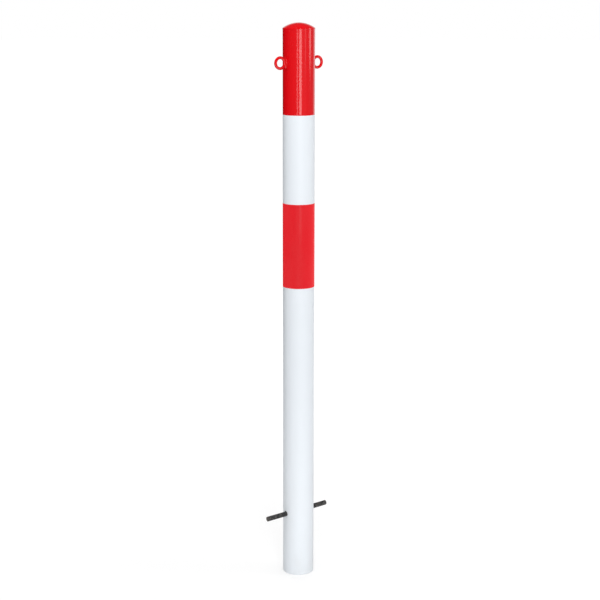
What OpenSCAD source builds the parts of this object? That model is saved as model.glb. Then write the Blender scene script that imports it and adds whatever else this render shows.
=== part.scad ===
// Barrier post for casting into the ground.
// A round steel tube carries a domed cap welded on its upper end, two welded chain
// eyelets, one band of film and a ribbed anchor rod pushed through its buried end.
// Millimetres, +Z up, origin on the tube's axis at its lower end, eyelets on the X axis.

/* [Tube] */
// Outside diameter of the tube
tube_d = 76.1; // [60:0.1:114]
// Wall thickness of the tube
tube_wall = 2.6; // [2:0.1:5]
// Length of the tube, without its cap
tube_length = 1342; // [1000:1:1800]
// Bevel on both edges of the lower cut end
foot_bevel = 0.5; // [0.2:0.1:0.8]

/* [Cap] */
// Rise of the dome above the cap's straight edge
dome_rise = 12.5; // [8:0.5:22]
// Height of the cap's straight edge above the tube's end
cap_edge = 2; // [2:0.5:6]
// Sheet thickness of the dome
cap_sheet = 3; // [2:0.1:4]
// Radius between the dome and its straight edge
rim_radius = 1.2; // [0.4:0.1:2]
// Height of the ground weld seam round the cap's joint
seam_h = 3.2; // [2:0.1:4]
// Crown of that seam above the tube's surface
seam_crown = 0.3; // [0.2:0.05:0.6]

/* [Colour fields] */
// Length of the red paint below the tube's upper end
red_field = 199; // [150:1:230]
// Length of the white field between the red paint and the film band
white_field = 210; // [150:1:230]
// Height of the film band
film_h = 203; // [150:1:230]
// Thickness of the film
film_t = 0.3; // [0.2:0.05:0.6]
// Lap of the film's two ends, at the back
film_lap = 12; // [5:1:25]

/* [Eyelets] */
// Diameter of the round bar that each eyelet is bent from
eye_bar_d = 7; // [5:0.5:10]
// Clear inside diameter of an eyelet
eye_inner_d = 18; // [16:0.5:30]
// Centre of the eyelets below the tube's upper end
eye_drop = 78; // [50:1:120]
// Depth of the saddle filed in the bar where it sits on the tube
eye_saddle = 0.6; // [0.4:0.1:1.2]

/* [Welds] */
// Radius of one blob of the eyelets' weld beads
blob_r = 3.1; // [2.5:0.1:3.6]
// Distance from one blob to the next along the bead
blob_pitch = 3; // [2.5:0.1:3.5]
// Depth of a blob's middle below the tube's surface
blob_sink = 0.4; // [0.2:0.1:0.8]
// Half the height of the oval bead round an eyelet's foot
bead_half_h = 9; // [8:0.5:11]

/* [Anchor rod] */
// Length of the rod
rod_length = 177; // [140:1:300]
// Diameter of the bar's round core
rod_core_d = 11; // [8:0.1:16]
// Height of the cross ribs above the core
rib_h = 0.8; // [0.4:0.1:1.2]
// Thickness of a cross rib
rib_w = 1.2; // [0.8:0.1:2]
// Distance from one cross rib to the next along the bar
rib_pitch = 6.5; // [5:0.1:10]
// Slant of the cross ribs to the bar's axis, in degrees
rib_slant = 55; // [45:1:70]
// How far a cross rib reaches round the bar to each side, in degrees
rib_reach = 64; // [50:1:72]
// Width of the two lengthwise ribs
spine_w = 1.6; // [1:0.1:2.4]
// Height of the two lengthwise ribs above the core
spine_h = 0.7; // [0.4:0.1:1.2]
// How far the rod sits off centre, along its own length
rod_shift = -5; // [-30:0.5:30]
// Slope of the rod and its holes, which lowers the end at -X, in degrees
rod_slope = 2.2; // [-4:0.1:4]
// Height at which the line of the rod's two holes crosses the tube's axis
hole_height = 157.5; // [100:0.5:250]
// Clearance of the bar in its holes, on the diameter
hole_clearance = 1; // [0.5:0.1:4]

/* [Hidden] */

paint_red = [0.80, 0.06, 0.09];
coat_white = [0.90, 0.93, 0.95];
film_red = [0.86, 0.15, 0.17];
steel_dark = [0.25, 0.25, 0.25];

// Facets round large and small curves
fine = 128;
small = 48;
// Overrun of a cutting shape past the face that it cuts
over = 1;

tube_r = tube_d / 2;
bore_r = tube_r - tube_wall;
paint_z = tube_length - red_field;
film_z = paint_z - white_field - film_h;
// Angle that the film's lap takes up round the tube
lap_angle = film_lap / tube_r * 180 / PI;

// Dome: a ball's segment as wide as the tube, with a rounded rim
ball_r = (pow(tube_r, 2) + pow(dome_rise, 2)) / (2 * dome_rise);
ball_z = cap_edge + dome_rise - ball_r;
rim_x = tube_r - rim_radius;
rim_z = ball_z + sqrt(pow(ball_r - rim_radius, 2) - pow(rim_x, 2));
// Round of the weld seam's crown
seam_round = (pow(seam_h / 2, 2) + pow(seam_crown, 2)) / (2 * seam_crown);

// Eyelets: a closed ring that stands on the tube by its filed saddle
eye_r = (eye_inner_d + eye_bar_d) / 2;
eye_x = tube_r - eye_saddle + eye_bar_d / 2 + eye_r;
eye_z = tube_length - eye_drop;
// Half the width of the oval bead, so that its blobs lie along the bar's flanks
bead_half_w = eye_bar_d / 2;
bead_path = 2 * PI * sqrt((pow(bead_half_w, 2) + pow(bead_half_h, 2)) / 2);
blob_count = round(bead_path / blob_pitch);

// Anchor rod: it lies on the lower side of its holes
core_r = rod_core_d / 2;
spine_r = core_r + spine_h;
hole_r = core_r + max(rib_h, spine_h) + hole_clearance / 2;
rod_drop = hole_r - spine_r;
// A cross rib is a slice of a second, smaller round set off to one side of the core
rib_offset = (pow(rib_h, 2) + 2 * core_r * rib_h) / (2 * (rib_h + core_r * (1 - cos(rib_reach))));
rib_round = core_r + rib_h - rib_offset;
// Length along the bar that one slanted rib takes up to each side of its middle
rib_lean = core_r * sin(rib_reach) / tan(rib_slant) + rib_w;
rib_count = floor((rod_length - 2 * rib_lean) / rib_pitch);

// Plain length of tube, from one height to another
module tube_length_of(low, high) {
    translate([0, 0, low])
        difference() {
            cylinder(h = high - low, r = tube_r, $fn = fine);
            translate([0, 0, -over])
                cylinder(h = high - low + 2 * over, r = bore_r, $fn = fine);
        }
}

// Cut end of the tube, with its two edges bevelled
module bevelled_foot() {
    rotate_extrude($fn = fine)
        polygon([
            [bore_r + foot_bevel, 0],
            [tube_r - foot_bevel, 0],
            [tube_r, foot_bevel],
            [bore_r, foot_bevel],
        ]);
}

// Puts a shape that lies along X on the sloping line of the rod's holes
module on_hole_line() {
    translate([0, 0, hole_height])
        rotate([0, -rod_slope, 0])
            children();
}

// Two holes in line across the tube, for the rod
module rod_holes() {
    on_hole_line()
        rotate([0, 90, 0])
            cylinder(h = 2 * tube_d, r = hole_r, center = true, $fn = small);
}

// The tube itself, white below and painted red above
module post_tube() {
    difference() {
        union() {
            color(coat_white) {
                bevelled_foot();
                tube_length_of(foot_bevel, paint_z);
            }
            color(paint_red)
                tube_length_of(paint_z, tube_length);
        }
        rod_holes();
    }
}

// Half outline of the dome: the ball's segment, its rounded rim and the straight edge
module dome_outline() {
    intersection() {
        translate([0, ball_z])
            circle(r = ball_r, $fn = fine);
        polygon([
            [0, ball_z],
            [2 * rim_x, ball_z + 2 * (rim_z - ball_z)],
            [0, ball_z + 2 * (rim_z - ball_z)],
        ]);
    }
    translate([rim_x, rim_z])
        circle(r = rim_radius, $fn = small);
    square([tube_r, rim_z]);
}

// Half outline of the hollow under the dome
module dome_hollow() {
    intersection() {
        translate([0, ball_z])
            circle(r = ball_r - cap_sheet, $fn = fine);
        translate([-over, -over])
            square([bore_r + over, ball_r]);
    }
}

// Half outline of the ground weld seam, which covers the joint from outside
module seam_outline() {
    intersection() {
        translate([tube_r + seam_crown - seam_round, 0])
            circle(r = seam_round, $fn = fine);
        translate([tube_r, -seam_h])
            square([seam_h, 2 * seam_h]);
    }
}

// Pressed cap, seated on the tube's end
module dome_cap() {
    color(paint_red)
        translate([0, 0, tube_length]) {
            rotate_extrude($fn = fine)
                difference() {
                    intersection() {
                        dome_outline();
                        square([tube_r + over, ball_r]);
                    }
                    dome_hollow();
                }
            rotate_extrude($fn = fine)
                seam_outline();
        }
}

// Ring bent from round bar, standing on edge
module bar_ring() {
    rotate([90, 0, 0])
        rotate_extrude($fn = fine)
            translate([eye_r, 0])
                circle(d = eye_bar_d, $fn = small);
}

// Oval weld bead of overlapping blobs, laid round an eyelet's foot on the tube
module weld_bead() {
    for (i = [0 : blob_count - 1]) {
        turn = 360 * (i + 0.5) / blob_count;
        across = bead_half_w * cos(turn);
        out = sqrt(pow(tube_r - blob_sink, 2) - pow(across, 2));
        translate([out, across, bead_half_h * sin(turn)])
            sphere(r = blob_r, $fn = small);
    }
}

// One eyelet with its weld, on the +X side of the tube
module welded_eyelet() {
    color(paint_red)
        translate([0, 0, eye_z])
            difference() {
                union() {
                    translate([eye_x, 0, 0])
                        bar_ring();
                    weld_bead();
                }
                cylinder(h = 4 * eye_r, r = tube_r, center = true, $fn = fine);
            }
}

module eyelet_left() {
    rotate([0, 0, 180])
        welded_eyelet();
}

module eyelet_right() {
    welded_eyelet();
}

// Film wrapped once round the tube, with its ends lapped at the back
module film_band() {
    color(film_red)
        translate([0, 0, film_z]) {
            rotate_extrude($fn = fine)
                translate([tube_r, 0])
                    square([film_t, film_h]);
            // The lap reaches half into the first turn, so that both make one sound solid
            rotate([0, 0, 90 - lap_angle / 2])
                rotate_extrude(angle = lap_angle, $fn = fine)
                    translate([tube_r + film_t / 2, 0])
                        square([film_t + film_t / 2, film_h]);
        }
}

// One crescent rib, slanted across the -Y side of a bar that lies along X
module cross_rib() {
    intersection() {
        translate([0, -rib_offset, 0])
            rotate([0, 90, 0])
                cylinder(h = 4 * rod_core_d, r = rib_round, center = true, $fn = small);
        rotate([0, 90 - rib_slant, 0])
            translate([0, -rod_core_d, 0])
                cube([rib_w, 2 * rod_core_d, 3 * rod_core_d], center = true);
    }
}

// Two lengthwise ribs, above and below the core
module spines() {
    intersection() {
        rotate([0, 90, 0])
            cylinder(h = rod_length, r = spine_r, center = true, $fn = small);
        cube([rod_length + over, spine_w, 2 * spine_r + over], center = true);
    }
}

// Ribbed bar: round core, two spines and a row of cross ribs down each side
module anchor_rod() {
    color(steel_dark)
        on_hole_line()
            translate([rod_shift, 0, -rod_drop]) {
                rotate([0, 90, 0])
                    cylinder(h = rod_length, r = core_r, center = true, $fn = small);
                spines();
                for (i = [0 : rib_count - 1]) {
                    along = (i - (rib_count - 1) / 2) * rib_pitch;
                    translate([along - rib_pitch / 4, 0, 0])
                        cross_rib();
                    translate([along + rib_pitch / 4, 0, 0])
                        mirror([0, 1, 0])
                            cross_rib();
                }
            }
}

post_tube();
dome_cap();
eyelet_left();
eyelet_right();
film_band();
anchor_rod();
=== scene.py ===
import math

import bmesh
import bpy
from mathutils import Matrix, Vector


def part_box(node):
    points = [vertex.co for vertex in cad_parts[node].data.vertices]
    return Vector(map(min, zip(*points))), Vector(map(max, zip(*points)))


bl_info = {
    "name": "Barrier post finishes",
    "version": (1, 0, 0),
    "blender": (4, 5, 0),
    "location": "3D View > Sidebar > Post",
    "description": "Coats, paint, film and studio for a cast-in barrier post",
    "category": "Object",
}

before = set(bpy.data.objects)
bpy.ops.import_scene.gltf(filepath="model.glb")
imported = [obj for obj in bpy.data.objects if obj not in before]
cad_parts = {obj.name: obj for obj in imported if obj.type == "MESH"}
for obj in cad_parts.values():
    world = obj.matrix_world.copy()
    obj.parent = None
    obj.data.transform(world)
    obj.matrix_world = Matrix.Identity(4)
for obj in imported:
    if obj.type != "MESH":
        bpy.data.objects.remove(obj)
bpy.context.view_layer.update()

# Edges of the CAD pieces that the finishes follow
FILM_LOW, FILM_HIGH = (corner[2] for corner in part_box("film_band"))
TUBE_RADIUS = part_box("post_tube")[1][0]
ROD_LOW, ROD_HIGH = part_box("anchor_rod")

# Side of the picture in pixels, width of the camera's sensor in millimetres, and how far it sees
IMAGE_SIDE = 600
SENSOR_WIDTH = 36
CAMERA_REACH = 200

TENT_RADIUS = 4.0
# Distance from the post to the tent's flat left side
TENT_LEFT = 1.0
FLOOR_RADIUS = 40.0
FLOOR_CORNERS = 96
TOP_LIGHT_WIDTH = 2.0
TOP_LIGHT_HEIGHT = 3.8

# Upright soft boxes that face the post: name, bearing in degrees to the right of the camera, distance,
# width, heights of the lower and the upper edge, radiance, and whether gloss mirrors the box
SOFT_LIGHTS = (
    ("key light", 11.5, 3.0, 0.86, 0.35, 2.4, 4.0, True),
    ("key light left", -10.5, 3.0, 0.34, 0.35, 2.4, 2.6, True),
    ("strip light", 47, 2.0, 0.25, 1.17, 2.2, 1.1, True),
    ("side light", 86, 2.0, 0.60, 1.17, 2.2, 2.9, True),
    ("front fill", 0, 3.0, 1.2, 1.0, 2.4, 4.3, False),
    ("foot fill", 8, 0.5, 0.3, 0.02, 0.12, 3.7, False),
    ("left fill", -60, 0.9, 0.3, 1.3, 2.0, 2.2, False),
    ("right fill", 95, 3.0, 1.2, 0.1, 1.2, 1.0, False),
    ("back fill, left", -160, 3.0, 1.2, 0.1, 2.4, 2.4, False),
    ("back fill, right", 165, 3.0, 1.2, 0.1, 2.4, 2.4, False),
)


def linear(hex_colour):
    """Scene-linear RGBA of a screen colour written as rrggbb."""
    parts = [int(hex_colour[i:i + 2], 16) / 255 for i in (0, 2, 4)]
    return [c / 12.92 if c <= 0.04045 else ((c + 0.055) / 1.055) ** 2.4 for c in parts] + [1.0]


DUST_ON_WHITE = linear("b9b3a6")
SCUFFED_WHITE = linear("8f9296")
SCUFFED_RED = linear("8a2a24")
BARE_STEEL = linear("6f6e6b")
STEEL_RUST = linear("5a3b28")
FILM_GRAIN = linear("ff6a6a")
# Paler red of the painted highlight along the film band's edges
FILM_EDGE_HIGHLIGHT = linear("f0605c")
DUST_ON_FILM = linear("c9a9a0")
BROWN_SCALE = linear("4a3a30")
SAWN_DARK = linear("36322e")
SAWN_LIGHT = linear("57504a")


# Settings that a user would change

class BarrierPostFinish(bpy.types.PropertyGroup):
    """Colours and edges of the post's finishes."""

    white: bpy.props.FloatVectorProperty(
        name="White coat", description="Colour of the powder coat on the tube",
        default=(0.820, 0.864, 0.910), subtype="COLOR", min=0, max=1)
    red: bpy.props.FloatVectorProperty(
        name="Red paint", description="Colour of the gloss paint on the top of the post",
        default=(0.745, 0.002, 0.006), subtype="COLOR", min=0, max=1)
    film: bpy.props.FloatVectorProperty(
        name="Red film", description="Colour of the film band",
        default=(0.775, 0.010, 0.019), subtype="COLOR", min=0, max=1)
    bar: bpy.props.FloatVectorProperty(
        name="Bar", description="Colour of the rolled bar's scale",
        default=(0.068, 0.068, 0.069), subtype="COLOR", min=0, max=1)
    paint_edge: bpy.props.FloatProperty(
        name="Paint edge", description="Height of the lower edge of the red paint",
        default=1.143, subtype="DISTANCE", unit="LENGTH", min=0.5, max=1.4)


class BarrierPostStage(bpy.types.PropertyGroup):
    """Camera and light of the studio."""

    azimuth: bpy.props.FloatProperty(
        name="Azimuth", description="Direction of the camera from the post, from -Y towards -X",
        default=math.radians(35.31), subtype="ANGLE", unit="ROTATION")
    distance: bpy.props.FloatProperty(
        name="Distance", description="Level distance from the post's axis to the camera",
        default=3.4205, subtype="DISTANCE", unit="LENGTH", min=1)
    height: bpy.props.FloatProperty(
        name="Height", description="Height of the camera above the floor",
        default=1.4297, subtype="DISTANCE", unit="LENGTH", min=0)
    pitch: bpy.props.FloatProperty(
        name="Pitch", description="How far the camera looks down",
        default=math.radians(12.121), subtype="ANGLE", unit="ROTATION")
    swing: bpy.props.FloatProperty(
        name="Swing", description="How far the camera looks to the right of the axis",
        default=math.radians(0.058), subtype="ANGLE", unit="ROTATION")
    roll: bpy.props.FloatProperty(
        name="Roll", description="Turn of the camera about its line of sight",
        default=math.radians(-0.078), subtype="ANGLE", unit="ROTATION")
    focal_pixels: bpy.props.FloatProperty(
        name="Focal length", description="Focal length in pixels of a square image 600 pixels wide",
        default=1442.4, min=200)
    ambient: bpy.props.FloatProperty(
        name="Ambient", description="Strength of the even light from all round",
        default=0.50, min=0, max=2)
    tent_left: bpy.props.FloatProperty(
        name="Tent, left", description="Brightness of the tent's left side in reflections",
        default=0.01, min=0, max=1)
    tent_front: bpy.props.FloatProperty(
        name="Tent, front", description="Brightness of the tent behind the camera in reflections",
        default=0.19, min=0, max=1)
    tent_right: bpy.props.FloatProperty(
        name="Tent, right", description="Brightness of the tent's right side in reflections",
        default=0.28, min=0, max=1)
    screen: bpy.props.FloatProperty(
        name="Screen", description="Brightness of the screen behind the post on the right, in reflections",
        default=1.1, min=0, max=2)
    band: bpy.props.FloatProperty(
        name="Band", description="Brightness of the band above and behind the post, in reflections",
        default=0.7, min=0, max=2)
    tent_roof: bpy.props.FloatProperty(
        name="Tent, roof", description="Brightness of the tent's roof in reflections",
        default=0.09, min=0, max=1)
    top_light: bpy.props.FloatProperty(
        name="Top light", description="Brightness of the soft box above the post",
        default=2.9, min=0, max=10)


# Node helpers

def add(tree, kind, **settings):
    """New node of a kind, with its settings; a key that names an input sets that input."""
    made = tree.nodes.new(kind)
    for key, value in settings.items():
        if key in made.inputs:
            made.inputs[key].default_value = value
        else:
            setattr(made, key, value)
    return made


def feed(tree, socket, value):
    """Links a socket to a node's output, or sets it to a plain value."""
    if hasattr(value, "links"):
        tree.links.new(value, socket)
    else:
        socket.default_value = value


def math_node(tree, operation, a, b=None):
    """Output of a Math node on sockets or numbers."""
    made = add(tree, "ShaderNodeMath", operation=operation)
    feed(tree, made.inputs[0], a)
    if b is not None:
        feed(tree, made.inputs[1], b)
    return made.outputs[0]


def plus(tree, a, b):
    """Sum of two sockets or numbers."""
    return math_node(tree, "ADD", a, b)


def minus(tree, a, b):
    """Difference of two sockets or numbers."""
    return math_node(tree, "SUBTRACT", a, b)


def times(tree, a, b):
    """Product of two sockets or numbers."""
    return math_node(tree, "MULTIPLY", a, b)


def larger(tree, a, b):
    """The larger of two sockets or numbers."""
    return math_node(tree, "MAXIMUM", a, b)


def from_axis(tree, x, y):
    """Distance of a point from the Z axis."""
    return math_node(tree, "SQRT", plus(tree, times(tree, x, x), times(tree, y, y)))


def ramp(tree, value, low, high, out_low=0.0, out_high=1.0, smooth=True):
    """Output of a clamped Map Range node on sockets or numbers."""
    made = add(tree, "ShaderNodeMapRange",
               interpolation_type="SMOOTHSTEP" if smooth else "LINEAR")
    for name, number in (("Value", value), ("From Min", low), ("From Max", high),
                         ("To Min", out_low), ("To Max", out_high)):
        feed(tree, made.inputs[name], number)
    return made.outputs["Result"]


def mix_colour(tree, mask, a, b):
    """Colour output of a Mix node; a and b are sockets or RGBA values."""
    made = add(tree, "ShaderNodeMix", data_type="RGBA")
    # The colour sockets of a Mix node come after those for numbers and vectors
    for socket, value in ((made.inputs[0], mask), (made.inputs[6], a), (made.inputs[7], b)):
        feed(tree, socket, value)
    return made.outputs[2]


def scaled_colour(colour, factor):
    """RGBA of an RGB colour times a factor."""
    return [part * factor for part in colour] + [1]


def mottled(tree, colour, darker, shade, low, high, most):
    """Colour that leans towards a darker tone of its own where a noise is high."""
    return mix_colour(tree, ramp(tree, shade, low, high, 0.0, most),
                      scaled_colour(colour, 1), scaled_colour(colour, darker))


def place(tree):
    """X, Y and Z of a surface point in the post's own frame, and the whole vector."""
    where = add(tree, "ShaderNodeTexCoord")
    split = add(tree, "ShaderNodeSeparateXYZ")
    tree.links.new(where.outputs["Object"], split.inputs[0])
    return split.outputs["X"], split.outputs["Y"], split.outputs["Z"], where.outputs["Object"]


def noise(tree, vector, size, detail=2.0, roughness=0.5, stretch=None):
    """Noise value from 0 to 1 whose blobs are about one size across, in metres."""
    if stretch is not None:
        scaled = add(tree, "ShaderNodeVectorMath", operation="MULTIPLY")
        tree.links.new(vector, scaled.inputs[0])
        scaled.inputs[1].default_value = stretch
        vector = scaled.outputs[0]
    made = add(tree, "ShaderNodeTexNoise", Scale=1 / size, Detail=detail, Roughness=roughness)
    tree.links.new(vector, made.inputs["Vector"])
    return made.outputs["Fac"]


def new_group(name, inputs, outputs):
    """Shader node group with named float inputs and outputs, and its two end nodes."""
    group = bpy.data.node_groups.new(name, "ShaderNodeTree")
    for label, default in inputs:
        socket = group.interface.new_socket(label, in_out="INPUT", socket_type="NodeSocketFloat")
        socket.default_value = default
    for label in outputs:
        group.interface.new_socket(label, in_out="OUTPUT", socket_type="NodeSocketFloat")
    return group, group.nodes.new("NodeGroupInput"), group.nodes.new("NodeGroupOutput")


def coat_skin_group():
    """Skin of sprayed paint or powder coat: fine peel, slow waves and a faint change of shade."""
    group = bpy.data.node_groups.get("coat skin")
    if group:
        return group
    group, start, end = new_group(
        "coat skin", [("Peel depth", 0.00002), ("Wave depth", 0.00004)],
        ["Height", "Shade"])
    _, _, _, where = place(group)
    peel = noise(group, where, size=0.0022, detail=1.0, roughness=0.4)
    wave = noise(group, where, size=0.045, detail=1.0, roughness=0.4, stretch=(1.0, 1.0, 0.35))
    shade = noise(group, where, size=0.11, detail=3.0, roughness=0.55, stretch=(1.0, 1.0, 0.4))
    height = plus(group, times(group, peel, start.outputs["Peel depth"]),
                  times(group, wave, start.outputs["Wave depth"]))
    group.links.new(height, end.inputs["Height"])
    group.links.new(shade, end.inputs["Shade"])
    return group


def handling_group():
    """Marks of storage and handling: sparse scuffs and a veil of dust that fades upwards."""
    group = bpy.data.node_groups.get("handling marks")
    if group:
        return group
    group, start, end = new_group(
        "handling marks", [("Scuffs", 0.2), ("Dust", 0.2), ("Dust top", 0.5)],
        ["Scuff", "Dust"])
    _, _, up, where = place(group)
    fine = noise(group, where, size=0.006, detail=4.0, roughness=0.7, stretch=(1.0, 1.0, 0.25))
    patch = noise(group, where, size=0.09)
    scuff = times(group, ramp(group, fine, 0.66, 0.74), ramp(group, patch, 0.52, 0.66))
    group.links.new(times(group, scuff, start.outputs["Scuffs"]), end.inputs["Scuff"])
    low = minus(group, 1.0, math_node(group, "DIVIDE", up, start.outputs["Dust top"]))
    cloud = noise(group, where, size=0.05, detail=4.0, roughness=0.6, stretch=(1.0, 1.0, 0.5))
    veil = times(group, larger(group, low, 0.0), ramp(group, cloud, 0.3, 0.75))
    group.links.new(times(group, veil, start.outputs["Dust"]), end.inputs["Dust"])
    return group


def use_group(tree, group, **values):
    """Group node placed in a material with its own values."""
    made = add(tree, "ShaderNodeGroup")
    made.node_tree = group
    for name, value in values.items():
        made.inputs[name.replace("_", " ")].default_value = value
    return made


def new_material(name, **sockets):
    """Material with a Principled BSDF whose plain sockets are set, and its tree and shader."""
    material = bpy.data.materials.new(name)
    material.use_nodes = True
    tree = material.node_tree
    shader = tree.nodes["Principled BSDF"]
    for socket, value in sockets.items():
        shader.inputs[socket.replace("_", " ")].default_value = value
    return material, tree, shader


def bump(tree, shader, height):
    """Height in metres into the shader's normal."""
    made = add(tree, "ShaderNodeBump", Strength=1.0, Distance=1.0)
    tree.links.new(height, made.inputs["Height"])
    tree.links.new(made.outputs["Normal"], shader.inputs["Normal"])


def dress(node_name, material):
    """Gives one CAD node its material."""
    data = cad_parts[node_name].data
    data.materials.clear()
    data.materials.append(material)


# Materials

def tube_material(finish):
    """White powder coat, gloss red above the paint edge, bare steel in the bore and on the cut end."""
    coat_roughness = 0.45
    paint_roughness = 0.13
    steel_roughness = 0.62
    paint_thickness = 0.00006
    half_edge = 0.0001
    creep_depth = 0.0007
    chip_depth = 0.0006
    material, tree, shader = new_material("tube coat and paint", IOR=1.5)
    x, y, z, where = place(tree)
    skin = use_group(tree, coat_skin_group(), Peel_depth=0.000003, Wave_depth=0.00005)
    marks = use_group(tree, handling_group(), Scuffs=0.12, Dust=0.10, Dust_top=0.40)
    shade = skin.outputs["Shade"]
    dust = marks.outputs["Dust"]
    scuff = marks.outputs["Scuff"]

    # The edge of the paint wanders a little where it crept under the tape
    creep = times(tree, minus(tree, noise(tree, where, size=0.004), 0.5), creep_depth)
    painted = ramp(tree, plus(tree, z, creep), finish.paint_edge - half_edge, finish.paint_edge + half_edge)
    white = mottled(tree, finish.white, 0.93, shade, 0.25, 0.75, 0.10)
    white = mix_colour(tree, dust, white, DUST_ON_WHITE)
    white = mix_colour(tree, scuff, white, SCUFFED_WHITE)
    red = mottled(tree, finish.red, 0.86, shade, 0.25, 0.75, 0.18)
    colour = mix_colour(tree, painted, white, red)

    # Bare bore and cut end; the coat wraps round the bevel above the cut
    inside = ramp(tree, from_axis(tree, x, y), TUBE_RADIUS - 0.0011, TUBE_RADIUS - 0.0008, 1.0, 0.0)
    chip = times(tree, noise(tree, where, size=0.0025, detail=3.0, roughness=0.6), chip_depth)
    foot = ramp(tree, plus(tree, z, chip), 0.0002, 0.0005, 1.0, 0.0)
    bare = larger(tree, inside, foot)
    rust = ramp(tree, noise(tree, where, size=0.012, detail=5.0, roughness=0.65), 0.48, 0.68)
    colour = mix_colour(tree, bare, colour, mix_colour(tree, rust, BARE_STEEL, STEEL_RUST))
    tree.links.new(colour, shader.inputs["Base Color"])

    rough = ramp(tree, painted, 0.0, 1.0, coat_roughness, paint_roughness, smooth=False)
    rough = plus(tree, rough, times(tree, dust, 0.5))
    rough = plus(tree, rough, times(tree, scuff, 0.8))
    rough = larger(tree, rough, times(tree, bare, steel_roughness))
    tree.links.new(rough, shader.inputs["Roughness"])
    # Rust is hardly metallic
    metal = times(tree, bare, ramp(tree, rust, 0.0, 1.0, 0.85, 0.1))
    tree.links.new(metal, shader.inputs["Metallic"])
    bump(tree, shader, plus(tree, skin.outputs["Height"], times(tree, painted, paint_thickness)))
    return material


def gloss_red_material(finish):
    """Gloss red paint over the dome, the rings and their welds."""
    material, tree, shader = new_material("gloss red paint", IOR=1.5)
    skin = use_group(tree, coat_skin_group(), Peel_depth=0.000003, Wave_depth=0.00003)
    marks = use_group(tree, handling_group(), Scuffs=0.10, Dust=0.0, Dust_top=0.4)
    scuff = marks.outputs["Scuff"]
    red = mottled(tree, finish.red, 0.86, skin.outputs["Shade"], 0.25, 0.75, 0.18)
    tree.links.new(mix_colour(tree, scuff, red, SCUFFED_RED), shader.inputs["Base Color"])
    tree.links.new(plus(tree, 0.10, times(tree, scuff, 0.8)), shader.inputs["Roughness"])
    bump(tree, shader, skin.outputs["Height"])
    return material


def film_material(finish):
    """Satin red film: a fine even grain under a soft sheen, with a slightly pale painted highlight along
    its edges.
    """
    grain_depth = 0.000006
    crease_depth = 0.00002
    material, tree, shader = new_material(
        "satin red film", IOR=1.46, Specular_IOR_Level=0.15, Coat_Weight=0.12, Coat_Roughness=0.12,
        Diffuse_Roughness=1.0, Sheen_Weight=0.55, Sheen_Roughness=0.6, Sheen_Tint=(1.0, 0.02, 0.03, 1.0))
    _, _, z, where = place(tree)
    marks = use_group(tree, handling_group(), Scuffs=0.10, Dust=0.06, Dust_top=1.4)
    grain = noise(tree, where, size=0.0009, roughness=0.6)
    cloud = noise(tree, where, size=0.07, detail=3.0, stretch=(1.0, 1.0, 0.5))
    colour = mottled(tree, finish.film, 0.93, cloud, 0.3, 0.7, 0.25)
    colour = mix_colour(tree, ramp(tree, grain, 0.35, 0.75, 0.0, 0.10), colour, FILM_GRAIN)
    # Painted highlight: a paler red within about a millimetre of the band's upper and lower edges, for
    # light caught by the film's edges
    to_edge = math_node(tree, "MINIMUM", minus(tree, z, FILM_LOW), minus(tree, FILM_HIGH, z))
    edge_highlight = ramp(tree, to_edge, 0.0004, 0.0012, 0.35, 0.0)
    colour = mix_colour(tree, edge_highlight, colour, FILM_EDGE_HIGHLIGHT)
    colour = mix_colour(tree, marks.outputs["Dust"], colour, DUST_ON_FILM)
    tree.links.new(colour, shader.inputs["Base Color"])
    tree.links.new(plus(tree, 0.50, times(tree, marks.outputs["Scuff"], 0.8)), shader.inputs["Roughness"])
    creases = noise(tree, where, size=0.018, stretch=(1.0, 1.0, 0.25))
    bump(tree, shader, plus(tree, times(tree, grain, grain_depth), times(tree, creases, crease_depth)))
    return material


def bar_material(finish):
    """Rolled ribbed bar: blotched dark scale, bare spots, sawn ends with a faint brown tint."""
    scale_depth = 0.00008
    material, tree, shader = new_material("ribbed bar scale", IOR=1.5)
    x, _, _, where = place(tree)
    scale = noise(tree, where, size=0.003, detail=4.0, roughness=0.65)
    patches = noise(tree, where, size=0.011, detail=3.0, roughness=0.6)
    colour = mix_colour(tree, ramp(tree, scale, 0.35, 0.7),
                        scaled_colour(finish.bar, 0.40), scaled_colour(finish.bar, 1.75))
    colour = mix_colour(tree, ramp(tree, patches, 0.5, 0.72, 0.0, 0.5), colour, BROWN_SCALE)
    # The sawn faces lie within a millimetre of the bar's two reaches along X
    sawn = larger(tree,
                  ramp(tree, x, ROD_LOW[0] + 0.0005, ROD_LOW[0] + 0.0010, 1.0, 0.0),
                  ramp(tree, x, ROD_HIGH[0] - 0.0010, ROD_HIGH[0] - 0.0005))
    face = mix_colour(tree, ramp(tree, scale, 0.3, 0.7), SAWN_DARK, SAWN_LIGHT)
    tree.links.new(mix_colour(tree, sawn, colour, face), shader.inputs["Base Color"])
    tree.links.new(ramp(tree, scale, 0.3, 0.7, 0.62, 0.42), shader.inputs["Roughness"])
    bare = minus(tree, ramp(tree, patches, 0.45, 0.6, 0.75, 0.15), sawn)
    tree.links.new(larger(tree, bare, 0.0), shader.inputs["Metallic"])
    bump(tree, shader, times(tree, scale, scale_depth))
    return material


# Studio

def camera_axes(stage):
    """Forward, right and down of the camera in the post's frame, and its place."""
    cos, sin = math.cos, math.sin
    forward = Vector((sin(stage.swing) * cos(stage.pitch), cos(stage.swing) * cos(stage.pitch),
                      -sin(stage.pitch)))
    right = Vector((cos(stage.swing), -sin(stage.swing), 0))
    down = forward.cross(right)
    rolled_right = cos(stage.roll) * right + sin(stage.roll) * down
    rolled_down = -sin(stage.roll) * right + cos(stage.roll) * down
    turn = Matrix.Rotation(-stage.azimuth, 3, "Z")
    spot = turn @ Vector((0, -stage.distance, stage.height))
    return turn @ forward, turn @ rolled_right, turn @ rolled_down, spot


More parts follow.
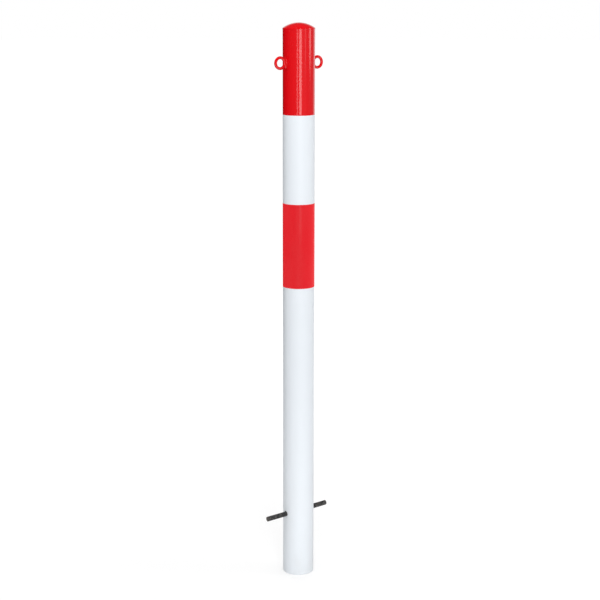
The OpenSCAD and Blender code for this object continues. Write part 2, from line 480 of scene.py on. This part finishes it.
def add_camera(stage):
    """Camera at the photograph's place and angle."""
    data = bpy.data.cameras.new("camera")
    data.sensor_width = SENSOR_WIDTH
    data.lens = stage.focal_pixels / IMAGE_SIDE * data.sensor_width
    data.clip_end = CAMERA_REACH
    camera = bpy.data.objects.new("camera", data)
    forward, right, down, spot = camera_axes(stage)
    turn = Matrix((right, -down, -forward)).transposed().to_4x4()
    camera.matrix_world = Matrix.Translation(spot) @ turn
    bpy.context.collection.objects.link(camera)
    bpy.context.scene.camera = camera


def add_lamp(name, data, glossy):
    """Lamp object that the camera doesn't see, and gloss only where told."""
    lamp = bpy.data.objects.new(name, data)
    lamp.visible_camera = False
    lamp.visible_glossy = glossy
    bpy.context.collection.objects.link(lamp)
    return lamp


def add_soft_light(stage, name, bearing, distance, width, low, high, radiance, glossy):
    """Upright soft box that faces the post, with the values of a row of SOFT_LIGHTS."""
    data = bpy.data.lights.new(name, "AREA")
    data.shape = "RECTANGLE"
    data.size, data.size_y = width, high - low
    data.energy = radiance * math.pi * data.size * data.size_y
    lamp = add_lamp(name, data, glossy)
    angle = -math.pi / 2 - stage.azimuth + math.radians(bearing)
    lamp.location = (distance * math.cos(angle), distance * math.sin(angle), (low + high) / 2)
    lamp.rotation_euler = (math.pi / 2, 0, angle + math.pi / 2)


def add_top_light(stage):
    """Soft box flat above the post, which lights the dome and the floor."""
    data = bpy.data.lights.new("top light", "AREA")
    data.shape = "DISK"
    data.size = TOP_LIGHT_WIDTH
    data.energy = stage.top_light * math.pi * math.pi * (data.size / 2) ** 2
    lamp = add_lamp("top light", data, glossy=False)
    lamp.location = (0, 0, TOP_LIGHT_HEIGHT)


def bearing_profile(tree, bearing, stops):
    """Brightness by bearing, from pairs of degrees and brightness in rising order."""
    made = add(tree, "ShaderNodeValToRGB")
    elements = made.color_ramp.elements
    while len(elements) < len(stops):
        elements.new(0.5)
    for element, (degrees, brightness) in zip(elements, stops):
        element.position = 0.5 + degrees / 360
        element.color = (brightness, brightness, brightness, 1)
    tree.links.new(ramp(tree, bearing, -math.pi, math.pi, smooth=False), made.inputs["Fac"])
    return made.outputs["Color"]


def tent_glow(tree, right, forward, stage):
    """Brightness of the tent by bearing and height."""
    _, _, up, where = place(tree)
    # Bearing round the post: 0 at the camera, rising to the right, 180 degrees behind the post
    sides = []
    for axis in (right, -forward):
        side = add(tree, "ShaderNodeVectorMath", operation="DOT_PRODUCT")
        side.inputs[1].default_value = axis
        tree.links.new(where, side.inputs[0])
        sides.append(side.outputs["Value"])
    bearing = math_node(tree, "ARCTAN2", *sides)
    near_right = 1.5 * stage.tent_right
    wall = bearing_profile(tree, bearing, (
        (-180, stage.tent_left), (-80, stage.tent_left), (-25, stage.tent_front), (8, stage.tent_front),
        (24, near_right), (45, near_right), (60, stage.tent_right), (150, stage.tent_right),
        (178, stage.tent_left)))
    wall = ramp(tree, up, 1.9, 2.4, wall, stage.tent_roof)
    # White screen behind the post on the right, which fades out upwards
    angle = math.radians
    screen = times(tree, ramp(tree, bearing, angle(115), angle(140)),
                   ramp(tree, bearing, angle(158), angle(172), 1.0, 0.0))
    screen = times(tree, screen, ramp(tree, up, 1.2, 1.9, 1.0, 0.0))
    # Light band behind the post and just above it, which only the dome's upper edge mirrors
    behind = ramp(tree, math_node(tree, "ABSOLUTE", bearing), angle(100), angle(150))
    above = times(tree, ramp(tree, up, 1.45, 1.8), ramp(tree, up, 2.2, 3.2, 1.0, 0.0))
    band = times(tree, behind, above)
    wall = plus(tree, wall, times(tree, screen, stage.screen))
    return plus(tree, wall, times(tree, band, stage.band))


def add_tent(stage):
    """Dim tent round the studio, seen only in reflections, so that gloss paint keeps its depth."""
    forward, right, _, _ = camera_axes(stage)
    form = bmesh.new()
    bmesh.ops.create_uvsphere(form, u_segments=64, v_segments=32, radius=TENT_RADIUS)
    for corner in form.verts:
        beyond = -corner.co.dot(right) - TENT_LEFT
        if beyond > 0:
            corner.co += beyond * right
    mesh = bpy.data.meshes.new("tent")
    form.to_mesh(mesh)
    form.free()
    tent = bpy.data.objects.new("tent", mesh)
    material = bpy.data.materials.new("tent")
    material.use_nodes = True
    tree = material.node_tree
    tree.nodes.clear()
    brightness = tent_glow(tree, right, forward, stage)
    glow = add(tree, "ShaderNodeEmission")
    tree.links.new(brightness, glow.inputs["Strength"])
    out = add(tree, "ShaderNodeOutputMaterial")
    tree.links.new(glow.outputs[0], out.inputs["Surface"])
    mesh.materials.append(material)
    for ray in ("camera", "diffuse", "transmission", "volume_scatter", "shadow"):
        setattr(tent, "visible_" + ray, False)
    bpy.context.collection.objects.link(tent)


def background_rays(tree):
    """1 for rays that show the background: from the camera, in gloss and through glass."""
    path = add(tree, "ShaderNodeLightPath")
    seen = larger(tree, path.outputs["Is Camera Ray"], path.outputs["Is Glossy Ray"])
    return larger(tree, seen, path.outputs["Is Transmission Ray"])


def add_world(stage):
    """Even white light, with a plain white background."""
    world = bpy.data.worlds.new("studio")
    world.use_nodes = True
    bpy.context.scene.world = world
    tree = world.node_tree
    background = tree.nodes["Background"]
    background.inputs["Color"].default_value = (1, 1, 1, 1)
    strength = ramp(tree, background_rays(tree), 0.0, 1.0, stage.ambient, 1.0, smooth=False)
    tree.links.new(strength, background.inputs["Strength"])


def add_floor():
    """Round pale floor that keeps the post's shadow and is white elsewhere."""
    mesh = bpy.data.meshes.new("floor")
    angles = [2 * math.pi * i / FLOOR_CORNERS for i in range(FLOOR_CORNERS)]
    ring = [(FLOOR_RADIUS * math.cos(angle), FLOOR_RADIUS * math.sin(angle), 0) for angle in angles]
    mesh.from_pydata(ring, [], [tuple(range(FLOOR_CORNERS))])
    floor = bpy.data.objects.new("floor", mesh)
    material, tree, shader = new_material(
        "floor", Roughness=0.9, Base_Color=(0.50, 0.50, 0.50, 1), Specular_IOR_Level=0.0,
        Emission_Color=(1, 1, 1, 1))
    x, y, _, _ = place(tree)
    # Less glow beside the post, so that its shadow stays
    glow = ramp(tree, from_axis(tree, x, y), 0.3, 2.0, 0.50, 0.80)
    tree.links.new(times(tree, glow, background_rays(tree)), shader.inputs["Emission Strength"])
    mesh.materials.append(material)
    bpy.context.collection.objects.link(floor)


# Operators

class BARRIER_POST_OT_tube_finish(bpy.types.Operator):
    """Coat the tube white, with its top painted red"""

    bl_idname = "barrier_post.tube_finish"
    bl_label = "Finish the tube"

    def execute(self, context):
        dress("post_tube", tube_material(context.scene.barrier_post_finish))
        return {"FINISHED"}


class BARRIER_POST_OT_red_metal_finish(bpy.types.Operator):
    """Paint the dome cap and both eyelets gloss red"""

    bl_idname = "barrier_post.red_metal_finish"
    bl_label = "Finish the cap and eyelets"

    def execute(self, context):
        material = gloss_red_material(context.scene.barrier_post_finish)
        for name in ("dome_cap", "eyelet_left", "eyelet_right"):
            dress(name, material)
        return {"FINISHED"}


class BARRIER_POST_OT_film_finish(bpy.types.Operator):
    """Give the film band its satin red"""

    bl_idname = "barrier_post.film_finish"
    bl_label = "Finish the film band"

    def execute(self, context):
        dress("film_band", film_material(context.scene.barrier_post_finish))
        return {"FINISHED"}


class BARRIER_POST_OT_bar_finish(bpy.types.Operator):
    """Give the anchor rod its dark scale and sawn ends"""

    bl_idname = "barrier_post.bar_finish"
    bl_label = "Finish the anchor rod"

    def execute(self, context):
        dress("anchor_rod", bar_material(context.scene.barrier_post_finish))
        return {"FINISHED"}


class BARRIER_POST_OT_stage(bpy.types.Operator):
    """Set up the floor, the light and the camera"""

    bl_idname = "barrier_post.stage"
    bl_label = "Set the stage"

    def execute(self, context):
        stage = context.scene.barrier_post_stage
        add_world(stage)
        add_floor()
        add_camera(stage)
        add_tent(stage)
        for light in SOFT_LIGHTS:
            add_soft_light(stage, *light)
        add_top_light(stage)
        return {"FINISHED"}


FINISHERS = (
    BARRIER_POST_OT_tube_finish,
    BARRIER_POST_OT_red_metal_finish,
    BARRIER_POST_OT_film_finish,
    BARRIER_POST_OT_bar_finish,
)


class BARRIER_POST_PT_panel(bpy.types.Panel):
    """Finishes and studio of the barrier post"""

    bl_label = "Barrier post"
    bl_idname = "BARRIER_POST_PT_panel"
    bl_space_type = "VIEW_3D"
    bl_region_type = "UI"
    bl_category = "Post"

    def draw(self, context):
        finish = context.scene.barrier_post_finish
        stage = context.scene.barrier_post_stage
        for name in ("white", "red", "film", "bar", "paint_edge"):
            self.layout.prop(finish, name)
        for operator in FINISHERS:
            self.layout.operator(operator.bl_idname)
        for name in ("azimuth", "distance", "height", "pitch", "swing", "roll", "focal_pixels", "ambient",
                     "tent_left", "tent_front", "tent_right", "tent_roof", "screen", "band", "top_light"):
            self.layout.prop(stage, name)
        self.layout.operator(BARRIER_POST_OT_stage.bl_idname)


CLASSES = (BarrierPostFinish, BarrierPostStage, *FINISHERS, BARRIER_POST_OT_stage,
           BARRIER_POST_PT_panel)


def register():
    """Registers the classes and hangs the settings on the scene."""
    for cls in CLASSES:
        bpy.utils.register_class(cls)
    bpy.types.Scene.barrier_post_finish = bpy.props.PointerProperty(type=BarrierPostFinish)
    bpy.types.Scene.barrier_post_stage = bpy.props.PointerProperty(type=BarrierPostStage)


def unregister():
    """Takes the settings and the classes out again."""
    del bpy.types.Scene.barrier_post_stage
    del bpy.types.Scene.barrier_post_finish
    for cls in reversed(CLASSES):
        bpy.utils.unregister_class(cls)


def main():
    """Builds the dressed post."""
    register()
    bpy.context.scene.view_settings.view_transform = "Standard"
    bpy.ops.barrier_post.tube_finish()
    bpy.ops.barrier_post.red_metal_finish()
    bpy.ops.barrier_post.film_finish()
    bpy.ops.barrier_post.bar_finish()
    bpy.ops.barrier_post.stage()


if __name__ == "__main__":
    main()
